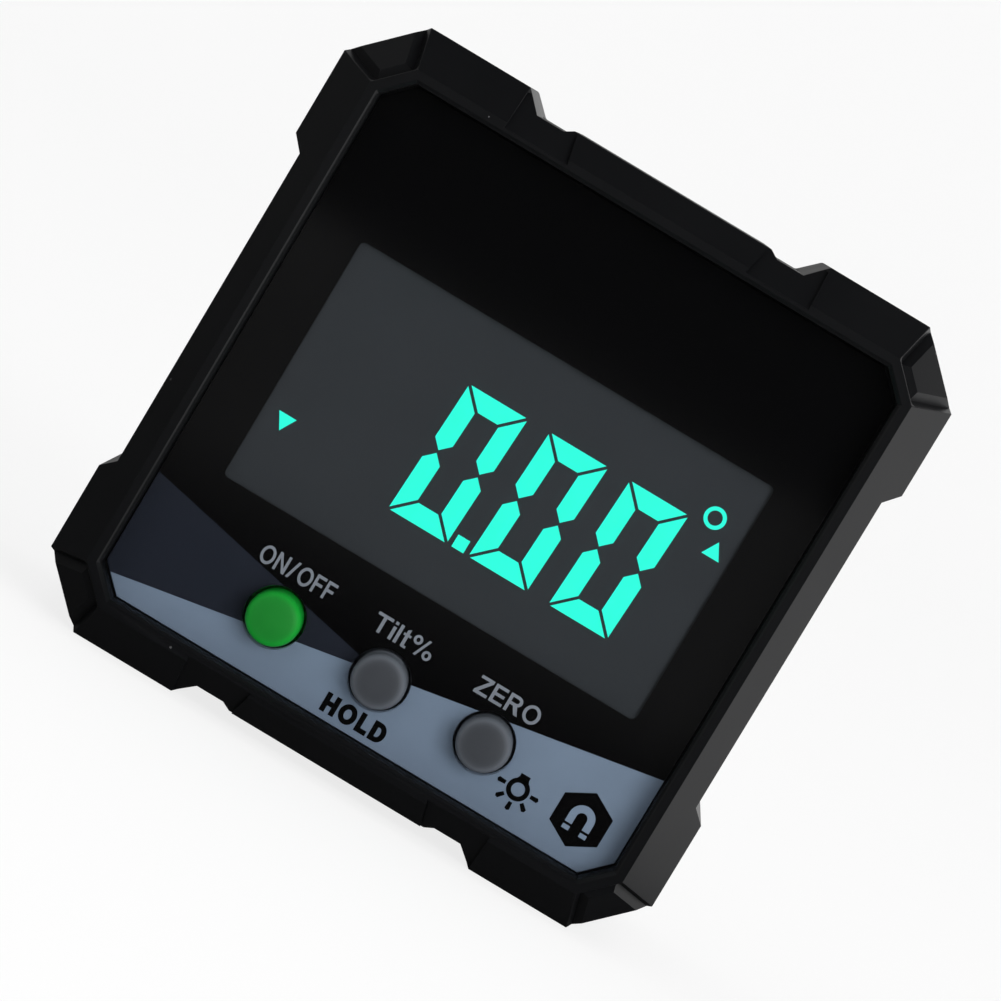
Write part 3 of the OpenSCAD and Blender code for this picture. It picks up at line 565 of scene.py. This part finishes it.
class Letters:
    """Plain upright letters, one unit tall, each a list of islands of an outline and its holes."""

    NAMES = {"/": "slash", "%": "per_cent", "l": "small_l", "i": "small_i", "t": "small_t"}

    def __init__(self, stroke):
        self.s = stroke
        self.low, self.high = 0.5 - stroke / 2, 0.5 + stroke / 2

    def islands(self, letter):
        """The outlines of one letter."""
        return getattr(self, self.NAMES.get(letter, letter.lower()))()

    def d(self):
        s, bend, wide = self.s, 0.34, 0.4
        return [[
            [(0, 0), *curve((bend, 0.5), (wide, 0.5), -90, 90), (0, 1)],
            [(s, s), *curve((bend, 0.5), (wide - s, 0.5 - s), -90, 90), (s, 1 - s)]]]

    def e(self):
        s, low, high = self.s, self.low, self.high
        return [[[
            (0, 0), (0.7, 0), (0.7, s), (s, s), (s, low), (0.64, low), (0.64, high), (s, high),
            (s, 1 - s), (0.68, 1 - s), (0.68, 1), (0, 1)]]]

    def f(self):
        s, low, high = self.s, self.low, self.high
        return [[[
            (0, 0), (s, 0), (s, low), (0.55, low), (0.55, high), (s, high), (s, 1 - s), (0.62, 1 - s),
            (0.62, 1), (0, 1)]]]

    def h(self):
        s, low, high, wide = self.s, self.low, self.high, 0.74
        return [[[
            (0, 0), (s, 0), (s, low), (wide - s, low), (wide - s, 0), (wide, 0), (wide, 1),
            (wide - s, 1), (wide - s, high), (s, high), (s, 1), (0, 1)]]]

    def l(self):
        return [[[(0, 0), (0.6, 0), (0.6, self.s), (self.s, self.s), (self.s, 1), (0, 1)]]]

    def n(self):
        s, wide, thick = self.s, 0.75, 1.75 * self.s
        return [[[
            (0, 0), (s, 0), (s, 1 - thick), (wide - s, 0), (wide, 0), (wide, 1), (wide - s, 1),
            (wide - s, thick), (s, 1), (0, 1)]]]

    def o(self):
        return [oval((0.44, 0.5), (0.44, 0.515), self.s)]

    def r(self):
        s, wide, foot, bend = self.s, 0.78, 0.42, 0.42
        middle, tall = (bend, (1 + foot) / 2), (1 - foot) / 2
        return [[
            [(0, 0), (s, 0), (s, foot), (0.34, foot), (wide - 1.25 * s, 0), (wide, 0),
             *curve(middle, (0.3, tall), -62, 90), (0, 1)],
            [(s, foot + s), *curve(middle, (0.3 - s, tall - s), -90, 90), (s, 1 - s)]]]

    def t(self):
        s, left, right = self.s, 0.39 - self.s / 2, 0.39 + self.s / 2
        return [[[
            (left, 0), (right, 0), (right, 1 - s), (0.78, 1 - s), (0.78, 1), (0, 1), (0, 1 - s),
            (left, 1 - s)]]]

    def z(self):
        s, wide, thick = self.s, 0.72, 1.35 * self.s
        return [[[
            (0, 0), (wide, 0), (wide, s), (thick, s), (wide, 1 - s), (wide, 1), (0.03, 1), (0.03, 1 - s),
            (wide - thick, 1 - s), (0, s)]]]

    def slash(self):
        return [[[(0, 0), (self.s, 0), (0.34 + self.s, 1), (0.34, 1)]]]

    def small_l(self):
        return [[box(0, 0, self.s, 1)]]

    def small_i(self):
        return [[box(0, 0, self.s, 0.72)], [box(0, 1 - self.s, self.s, 1)]]

    def small_t(self):
        s, bar, stem = self.s, 0.72 - 0.8 * self.s, 0.1
        return [[[
            (stem, 0.04), (stem + 0.05, 0), (0.38, 0), (0.38, 0.8 * s), (stem + s, 0.8 * s),
            (stem + s, bar), (0.38, bar), (0.38, 0.72), (stem + s, 0.72), (stem + s, 1), (stem, 0.9),
            (stem, 0.72), (0, 0.72), (0, bar), (stem, bar)]]]

    def per_cent(self):
        thin = 0.8 * self.s
        bar = [(0.3, 0), (0.3 + thin, 0), (0.82, 1), (0.82 - thin, 1)]
        return [oval((0.22, 0.75), (0.22, 0.25), thin), [bar], oval((0.9, 0.25), (0.22, 0.25), thin)]


def drawn_word(text, stroke, gap):
    """A flat mesh of a word, its capitals one unit tall."""
    letters, bm, start = Letters(stroke), bmesh.new(), 0
    for letter in text:
        islands = letters.islands(letter)
        for loops in islands:
            edges = []
            for loop in loops:
                points = [bm.verts.new((start + x, y, 0)) for x, y in loop]
                edges += [bm.edges.new((points[i - 1], points[i])) for i in range(len(points))]
            bmesh.ops.triangle_fill(bm, use_beauty=True, use_dissolve=False, edges=edges)
        start += max(x for loops in islands for loop in loops for x, y in loop) + gap
    return bm


class GAUGE_OT_words(bpy.types.Operator):
    """Prints the words beside the buttons"""

    bl_idname = "gauge.words"
    bl_label = "Words"

    # Word, its middle on the face, its width and its height in millimetres, and whether it is light
    WORDS = (
        ("power_word", "ON/OFF", -10.66, -15.47, 7.2, 1.66, True),
        ("tilt_word", "Tilt%", -0.1, -15.52, 5.75, 1.7, True),
        ("zero_word", "ZERO", 10.35, -15.63, 6.15, 1.66, True),
        ("hold_word", "HOLD", -0.15, -23.72, 6.1, 1.78, False),
    )

    def execute(self, context):
        sizes, colours = gauge("sizes"), gauge("colours")
        light = ink("word_ink", colours.words, 0.5)
        dark = ink("dark_ink", colours.print_black, 0.45)
        for name, text, x, z, width, tall, is_light in self.WORDS:
            stroke = sizes.light_stroke if is_light else sizes.dark_stroke
            bm = drawn_word(text, stroke / MM / tall, sizes.word_gap / MM / tall)
            low, high = span(bm, 0)
            bmesh.ops.translate(bm, verts=bm.verts, vec=(-(low + high) / 2, -0.5, 0))
            bmesh.ops.scale(bm, verts=bm.verts, vec=(width / (high - low), tall, 1))
            on_film(bm, x, z, PRINT_LIFT, sizes.ink)
            piece(name, bm, light if is_light else dark, "case")
        return {"FINISHED"}


def ring(bm, outer, inner):
    """A flat ring about the origin."""
    loops = [bmesh.ops.create_circle(bm, segments=40, radius=r)["verts"] for r in (outer, inner)]
    edges = {e for loop in loops for v in loop for e in v.link_edges}
    bmesh.ops.bridge_loops(bm, edges=list(edges))


def slab(bm, points):
    """A flat face with the given corners."""
    bm.faces.new([bm.verts.new((x, y, 0)) for x, y in points])


class GAUGE_OT_signs(bpy.types.Operator):
    """Prints the lamp sign and the magnet sign on the pale band"""

    bl_idname = "gauge.signs"
    bl_label = "Signs"

    # Places, radii and corners of the signs in millimetres, and the rays' turns in degrees
    LAMP_PLACE = (14.93, -21.72)
    LAMP_RING = (1.03, 0.6)
    LAMP_CAP = ((-0.58, 0.82), (0.58, 0.82), (0.46, 1.1), (0.46, 1.4), (-0.46, 1.4), (-0.46, 1.1))
    RAYS = (0, -45, -90, -135, 180)
    RAY_REACH = (1.22, 2.02)
    RAY_HALF = (0.17, 0.22)
    RAY_TIP = 0.12
    MAGNET_PLACE = (20.87, -21.16)
    HEXAGON = (4.76, 5.32)
    HORSESHOE = (1.18, 0.5)
    POLES = ((0.09, -0.75), (-0.98, -1.38))

    def execute(self, context):
        sizes, colours = gauge("sizes"), gauge("colours")
        dark = ink("sign_ink", colours.print_black, 0.45)
        lamp = bmesh.new()
        ring(lamp, *self.LAMP_RING)
        slab(lamp, self.LAMP_CAP)
        for turn in self.RAYS:
            self.ray(lamp, turn)
        on_film(lamp, *self.LAMP_PLACE, PRINT_LIFT, sizes.ink)
        piece("lamp_sign", lamp, dark, "case")
        shield = bmesh.new()
        bmesh.ops.create_circle(shield, cap_ends=True, segments=6, radius=self.HEXAGON[1] / 2)
        squeeze = self.HEXAGON[0] / (self.HEXAGON[1] * math.cos(math.radians(30)))
        bmesh.ops.scale(shield, verts=shield.verts, vec=(squeeze, 1, 1))
        on_film(shield, *self.MAGNET_PLACE, PRINT_LIFT, sizes.ink)
        piece("magnet_shield", shield, dark, "case")
        pale = ink("magnet_ink", scaled(colours.band, 1.15), 0.45)
        shoe = self.horseshoe()
        on_film(shoe, *self.MAGNET_PLACE, sizes.ink + PRINT_LIFT, 2 * sizes.ink)
        piece("magnet_sign", shoe, pale, "case")
        return {"FINISHED"}

    def ray(self, bm, turn):
        """One ray of the lamp, with a tapered tip."""
        near, far = self.RAY_REACH
        thin, thick = self.RAY_HALF
        neck = far - self.RAY_TIP
        known = set(bm.verts)
        slab(bm, [(near, -thin), (neck, -thick), (far, 0), (neck, thick), (near, thin)])
        fresh = [v for v in bm.verts if v not in known]
        bmesh.ops.rotate(
            bm, verts=fresh, cent=(0, 0, 0), matrix=Matrix.Rotation(math.radians(turn), 3, "Z"))

    def horseshoe(self):
        """Half a ring with two legs and their pole tips."""
        outer, inner = self.HORSESHOE
        bm = bmesh.new()
        top = self.POLES[0][0]
        start = [bm.verts.new((r, top, 0)) for r in (inner, outer)]
        edge = bm.edges.new(start)
        bmesh.ops.spin(
            bm, geom=start + [edge], cent=(0, top, 0), axis=(0, 0, 1), angle=math.pi, steps=20)
        for side in (-1, 1):
            for high, low in self.POLES:
                near, far = side * inner, side * outer
                slab(bm, [(near, high), (far, high), (far, low), (near, low)])
        bmesh.ops.remove_doubles(bm, verts=bm.verts, dist=1e-4)
        return bm


def lathe(profile, steps):
    """Turns a profile of radius and height, in millimetres, about Z into a closed solid."""
    bm = bmesh.new()
    line = [bm.verts.new((r, 0, h)) for r, h in profile]
    edges = [bm.edges.new(pair) for pair in zip(line, line[1:])]
    bmesh.ops.spin(
        bm, geom=line + edges, cent=(0, 0, 0), axis=(0, 0, 1), angle=2 * math.pi, steps=steps,
        use_merge=True, use_duplicate=False)
    bmesh.ops.remove_doubles(bm, verts=bm.verts, dist=1e-4)
    bmesh.ops.recalc_face_normals(bm, faces=bm.faces)
    return bm


def gather(target, part, place):
    """Adds a copy of one bmesh, in millimetres, to another in metres."""
    copy = part.copy()
    bmesh.ops.transform(copy, matrix=place @ Matrix.Scale(MM, 4), verts=copy.verts)
    mesh = bpy.data.meshes.new("gathered")
    copy.to_mesh(mesh)
    copy.free()
    target.from_mesh(mesh)
    bpy.data.meshes.remove(mesh)


class GAUGE_OT_screws(bpy.types.Operator):
    """Makes the case screws with a cross recess and finishes the board screws"""

    bl_idname = "gauge.screws"
    bl_label = "Screws"

    # Sizes in millimetres: radii of head and shank, then the recess's half width, arm and depth
    HEAD = 2.0
    SHANK = 1.1
    CROSS = (0.3, 1.15, 0.9)
    HEAD_TALL = 1.5
    THREAD_STEP = 0.4
    THREAD_DEEP = 0.22
    TIP = 1.1

    def execute(self, context):
        low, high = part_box("case_screws")
        place_x = high.x - self.HEAD * MM
        place_z = high.z - MIDDLE_Z - self.HEAD * MM
        screw = self.screw((high.y - low.y) / MM)
        bm = bmesh.new()
        for side in (-1, 1):
            for rise in (-1, 1):
                spot = Vector((side * place_x, high.y, MIDDLE_Z + rise * place_z))
                turn = Matrix.Rotation(math.radians(17 * side + 31 * rise), 4, "Y")
                gather(bm, screw, Matrix.Translation(spot) @ turn @ Matrix.Rotation(-math.pi / 2, 4, "X"))
        screw.free()
        black = metal("black_oxide", (0.06, 0.06, 0.063), 0.38)
        piece("case_screw_set", bm, black, "case", ["case_screws"], smooth=35)
        coat(metal("zinc", (0.5, 0.5, 0.49), 0.35), "board_screws")
        return {"FINISHED"}

    def screw(self, long):
        """A pan-head screw below the origin, with its cross recess at the top."""
        half, arm, deep = self.CROSS
        turns = range(int((long - self.HEAD_TALL - self.TIP) / self.THREAD_STEP))
        threads = [
            (self.SHANK - self.THREAD_DEEP * (i % 2), -self.HEAD_TALL - self.THREAD_STEP * i) for i in turns]
        profile = [
            (1.5, 0), (1.8, -0.12), (self.HEAD, -0.5), (self.HEAD, -self.HEAD_TALL), *threads,
            (0.35, 0.3 - long), (0, -long)]
        bm = lathe(profile, 36)
        rim = [e for e in bm.edges if e.is_boundary]
        steps = ((half, arm), (half, half), (arm, half))
        points = [(x * sx, y * sy) for sx, sy in ((1, 1), (1, -1), (-1, -1), (-1, 1))
                  for x, y in (steps if sx * sy > 0 else steps[::-1])]
        mouth = [bm.verts.new((x, y, 0)) for x, y in points]
        cross = [bm.edges.new((mouth[i - 1], mouth[i])) for i in range(len(mouth))]
        bmesh.ops.triangle_fill(bm, use_beauty=True, use_dissolve=False, edges=rim + cross)
        walls = bmesh.ops.extrude_edge_only(bm, edges=cross)["geom"]
        floor = [g for g in walls if isinstance(g, bmesh.types.BMVert)]
        bmesh.ops.translate(bm, verts=floor, vec=(0, 0, -deep))
        bmesh.ops.scale(bm, verts=floor, vec=(0.62, 0.62, 1))
        ends = [e for e in bm.edges if e.is_boundary]
        bmesh.ops.edgeloop_fill(bm, edges=ends)
        bmesh.ops.recalc_face_normals(bm, faces=bm.faces)
        return bm


class GAUGE_OT_magnets(bpy.types.Operator):
    """Plates the magnets in the feet"""

    bl_idname = "gauge.magnets"
    bl_label = "Magnets"

    def execute(self, context):
        bm = merged_copy("foot_magnets")
        ease(bm, corners(bm, 0, 60), gauge("sizes").magnet_round)
        plate = metal("nickel_plate", gauge("colours").nickel, 0.26)
        piece(
            "magnet_set", bm, plate, "case", ["foot_magnets"], smooth=40, flat=True)
        return {"FINISHED"}


class GAUGE_OT_cells(bpy.types.Operator):
    """Makes the batteries with crimped ends and finishes their contacts"""

    bl_idname = "gauge.cells"
    bl_label = "Batteries"

    # Bare steel at each end, and the stripes' distance from the middle and half width
    BARE_END = 1.6 * MM
    STRIPE = (9 * MM, 0.8 * MM)

    def execute(self, context):
        colours = gauge("colours")
        low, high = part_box("batteries")
        radius = (high.y - low.y) / 2 / MM
        rows = (high.z - low.z) / 2 - radius * MM
        upper = [v.co.x for v in NODES["batteries"].data.vertices if v.co.z > MIDDLE_Z]
        long = (max(upper) - min(upper)) / MM
        bm = bmesh.new()
        cell = lathe(self.outline(radius, long), 56)
        middle_y = (low.y + high.y) / 2
        for side in (-1, 1):
            start = Vector((side * (high.x - long * MM), middle_y, MIDDLE_Z + side * rows))
            gather(bm, cell, Matrix.Translation(start) @ Matrix.Rotation(side * math.pi / 2, 4, "Y"))
        cell.free()
        sleeve = self.jacket(colours, high.x)
        piece("battery_pair", bm, sleeve, "case", ["batteries"], smooth=35)
        coat(metal("contact_plate", colours.nickel, 0.3), "cell_contacts", "bridge_contact")
        return {"FINISHED"}

    def outline(self, radius, long):
        """Radius and height along a cell, from its flat end to its pip, in millimetres."""
        flat_end = [(0, 0), (3.4, 0), (3.8, 0.25)]
        lower_crimp = [(radius - 0.7, 0.1), (radius - 0.25, 0.3), (radius, 0.8)]
        upper_crimp = [
            (radius, long - 2.2), (radius - 0.35, long - 1.6), (radius - 1.2, long - 1.35),
            (radius - 1.6, long - 0.95)]
        pip = [(2.0, long - 0.9), (1.9, long - 0.15), (1.6, long), (0, long)]
        return flat_end + lower_crimp + upper_crimp + pip

    def jacket(self, colours, end):
        """A printed sleeve with bare steel at both ends."""
        finish = Finish("battery_sleeve")
        across = finish.along(0)
        place, half = self.STRIPE
        steel = across.size().over(end - self.BARE_END)
        stripe = (across.size() - place).size().under(half)
        wear = finish.noise(500, 3)
        sleeve = finish.mix(stripe, finish.shades(wear, colours.jacket, 0.15), (0.35, 0.36, 0.37, 1))
        return finish.surface(
            Base_Color=finish.mix(steel, sleeve, (0.55, 0.55, 0.54, 1)),
            Metallic=steel,
            Roughness=0.32 + (wear - 0.5) * 0.15)


class GAUGE_OT_board(bpy.types.Operator):
    """Finishes the circuit board and what is on it"""

    bl_idname = "gauge.board"
    bl_label = "Board"

    def execute(self, context):
        coat(self.resist(gauge("colours").board), "main_board")
        coat(moulded("chip_epoxy", (0.014, 0.014, 0.015), 0.55), "controller_chip", "tilt_sensor")
        coat(moulded("fired_ceramic", (0.24, 0.15, 0.08), 0.45, 0.2), "board_components")
        coat(moulded("switch_plastic", (0.02, 0.02, 0.021), 0.5), "switch_bodies")
        return {"FINISHED"}

    def resist(self, tone):
        """Green resist over square-cornered copper tracks."""
        finish = Finish("solder_resist")
        cells = {"Vector": finish.place(), "Scale": 260.0}
        edge = finish.node(
            "TexVoronoi", {"feature": "F1", "distance": "CHEBYCHEV"}, cells, "Distance")
        track = edge.rise(0.42, 0.5)
        return finish.surface(
            Base_Color=finish.mix(track, scaled(tone, 1), scaled(tone, 1.8)),
            Roughness=0.3 + track * 0.1,
            Normal=finish.bump(track, 0.2, 0.03))


class GAUGE_OT_stage(bpy.types.Operator):
    """Sets the white floor, the lamp, the surroundings and the camera"""

    bl_idname = "gauge.stage"
    bl_label = "Studio"

    # Place and size of the lamp, and the sweep's half width, front, bend and wall, in metres
    KEY_PLACE = (0.4, -0.69, 0.25)
    KEY_SIZE = 0.5
    SWEEP_HALF = 2.5
    SWEEP_FRONT = -0.9
    BEND_START = 0.8
    BEND_RADIUS = 0.6
    WALL_TALL = 1.6

    def execute(self, context):
        scene, studio = context.scene, gauge("studio")
        scene.view_settings.view_transform = "Standard"
        self.floor(scene, studio)
        self.surroundings(scene, studio)
        face = Vector((0, CASE_LOW.y, MIDDLE_Z))
        self.lamp(scene, "key_lamp", face, studio.key)
        self.camera(scene, studio)
        return {"FINISHED"}

    def floor(self, scene, studio):
        """A sweep of white paper that rises behind the gauge."""
        bm = bmesh.new()
        start = [bm.verts.new((-self.SWEEP_HALF, y, 0)) for y in (self.SWEEP_FRONT, self.BEND_START)]
        bm.edges.new(start)
        bend = bmesh.ops.spin(
            bm, geom=[start[1]], cent=(0, self.BEND_START, self.BEND_RADIUS), axis=(1, 0, 0),
            angle=math.pi / 2, steps=16)
        top = [g for g in bend["geom_last"] if isinstance(g, bmesh.types.BMVert)]
        wall = bmesh.ops.extrude_vert_indiv(bm, verts=top)["verts"]
        bmesh.ops.translate(bm, verts=wall, vec=(0, 0, self.WALL_TALL))
        swept = bmesh.ops.extrude_edge_only(bm, edges=list(bm.edges))["geom"]
        moved = [g for g in swept if isinstance(g, bmesh.types.BMVert)]
        bmesh.ops.translate(bm, verts=moved, vec=(2 * self.SWEEP_HALF, 0, 0))
        bmesh.ops.recalc_face_normals(bm, faces=bm.faces)
        if min(bm.faces, key=lambda f: f.calc_center_median().z).normal.z < 0:
            bmesh.ops.reverse_faces(bm, faces=bm.faces)
        mesh = bpy.data.meshes.new("paper_sweep")
        bm.to_mesh(mesh)
        bm.free()
        mesh.shade_smooth()
        mesh.materials.append(self.paper(studio))
        sweep = bpy.data.objects.new("paper_sweep", mesh)
        scene.collection.objects.link(sweep)

    def paper(self, studio):
        """White paper that keeps part of its shade in the picture and is open from below.

        Gloss meets a dim floor instead, paler by the metre before the gauge, behind it and on its right.
        """
        finish = Finish("white_paper")
        seen = finish.node("LightPath", out="Is Camera Ray").larger(
            finish.node("LightPath", out="Is Transmission Ray"))
        gloss = finish.node("LightPath", out="Is Glossy Ray")
        matt = finish.node("BsdfDiffuse", {}, {"Color": (0.9, 0.9, 0.9, 1)})
        white = finish.node("Emission", {}, {"Color": (1, 1, 1, 1), "Strength": 1.0})
        across, deep = finish.along(0), finish.along(1)
        left = (0 - across).rise(0.05, 0.12) * (0 - deep).rise(0.05, 0.12) * 0.2
        before = (0 - deep).rise(0.1, 0.25) * 0.13 + left
        behind = (across + deep * 1.2).rise(0.02, 0.12) * deep.rise(0.03, 0.15) * 0.25
        right = (across - (0 - deep).larger(0) * 0.3).rise(0.035, 0.1) * 0.75
        level = 0.03 + before + behind.larger(right)
        mirrored = finish.node("Emission", {}, {"Color": (1, 1, 1, 1), "Strength": level})
        plain = finish.node("MixShader", {}, {0: seen * (1 - studio.shadow), 1: matt, 2: white})
        front = finish.node("MixShader", {}, {0: gloss, 1: plain, 2: mirrored})
        below = finish.node("NewGeometry", out="Backfacing")
        clear = finish.node("BsdfTransparent")
        return finish.end(finish.node("MixShader", {}, {0: below, 1: front, 2: clear}))

    def surroundings(self, scene, studio):
        """White to the camera, and to gloss a pale wall on the right and dim ones elsewhere."""
        scene.world = bpy.data.worlds.new("studio_room")
        finish = Finish("studio_room", scene.world)
        seen = finish.node("LightPath", out="Is Camera Ray").larger(
            finish.node("LightPath", out="Is Transmission Ray"))
        gloss = finish.node("LightPath", out="Is Glossy Ray")
        way = finish.node("TexCoord", out="Generated")
        across, away = (finish.node("SeparateXYZ", {}, {0: way}, axis) for axis in (0, 1))
        front = across.size().rise(0.4, 0.7) * (0 - away).rise(0.3, 0.6) * 0.3
        wall = 0.02 + front + across.rise(0.78, 0.95) * 0.85 + (0 - across).rise(0.5, 0.8) * 0.1
        lit = gloss * wall + (1 - gloss) * studio.ambient
        level = seen + (1 - seen) * lit
        finish.end(finish.node("Background", {}, {"Color": (1, 1, 1, 1), "Strength": level}), "OutputWorld")

    def lamp(self, scene, name, target, power):
        """A square soft lamp aimed at a point."""
        light = bpy.data.lights.new(name, "AREA")
        light.energy = power
        light.size = self.KEY_SIZE
        made = bpy.data.objects.new(name, light)
        made.location = self.KEY_PLACE
        made.rotation_euler = (target - Vector(self.KEY_PLACE)).to_track_quat("-Z", "Y").to_euler()
        made.visible_glossy = False
        scene.collection.objects.link(made)

    def camera(self, scene, studio):
        """The camera of the picture, close above the face and rolled about its view."""
        lens = bpy.data.cameras.new("camera")
        lens.lens = studio.focal
        lens.sensor_width = 36
        lens.clip_start = 0.01
        made = bpy.data.objects.new("camera", lens)
        turn = (
            Matrix.Rotation(studio.camera_yaw, 4, "Z") @ Matrix.Rotation(studio.camera_pitch, 4, "X")
            @ Matrix.Rotation(studio.camera_roll, 4, "Y") @ Matrix.Rotation(math.pi / 2, 4, "X"))
        spot = (studio.camera_x, CASE_LOW.y - studio.camera_back, MIDDLE_Z + studio.camera_rise)
        made.matrix_world = Matrix.Translation(spot) @ turn
        scene.collection.objects.link(made)
        scene.camera = made


OPERATORS = (
    GAUGE_OT_case, GAUGE_OT_lens, GAUGE_OT_display, GAUGE_OT_buttons, GAUGE_OT_words, GAUGE_OT_signs,
    GAUGE_OT_screws, GAUGE_OT_magnets, GAUGE_OT_cells, GAUGE_OT_board, GAUGE_OT_stage,
)


class GAUGE_PT_dressing(bpy.types.Panel):
    """Lists the steps of the dressing"""

    bl_idname = "GAUGE_PT_dressing"
    bl_label = "Angle gauge"
    bl_space_type = "VIEW_3D"
    bl_region_type = "UI"
    bl_category = "Gauge"

    def draw(self, context):
        for operator in OPERATORS:
            self.layout.operator(operator.bl_idname)


GROUPS = {"sizes": GaugeSizes, "colours": GaugeColours, "studio": GaugeStudio}


def register():
    for cls in (*GROUPS.values(), *OPERATORS, GAUGE_PT_dressing):
        bpy.utils.register_class(cls)
    for name, group in GROUPS.items():
        setattr(bpy.types.Scene, "gauge_" + name, PointerProperty(type=group))


def unregister():
    for name in GROUPS:
        delattr(bpy.types.Scene, "gauge_" + name)
    for cls in reversed((*GROUPS.values(), *OPERATORS, GAUGE_PT_dressing)):
        bpy.utils.unregister_class(cls)


def main():
    register()
    for operator in OPERATORS:
        getattr(bpy.ops.gauge, operator.bl_idname.split(".")[1])()


if __name__ == "__main__":
    main()
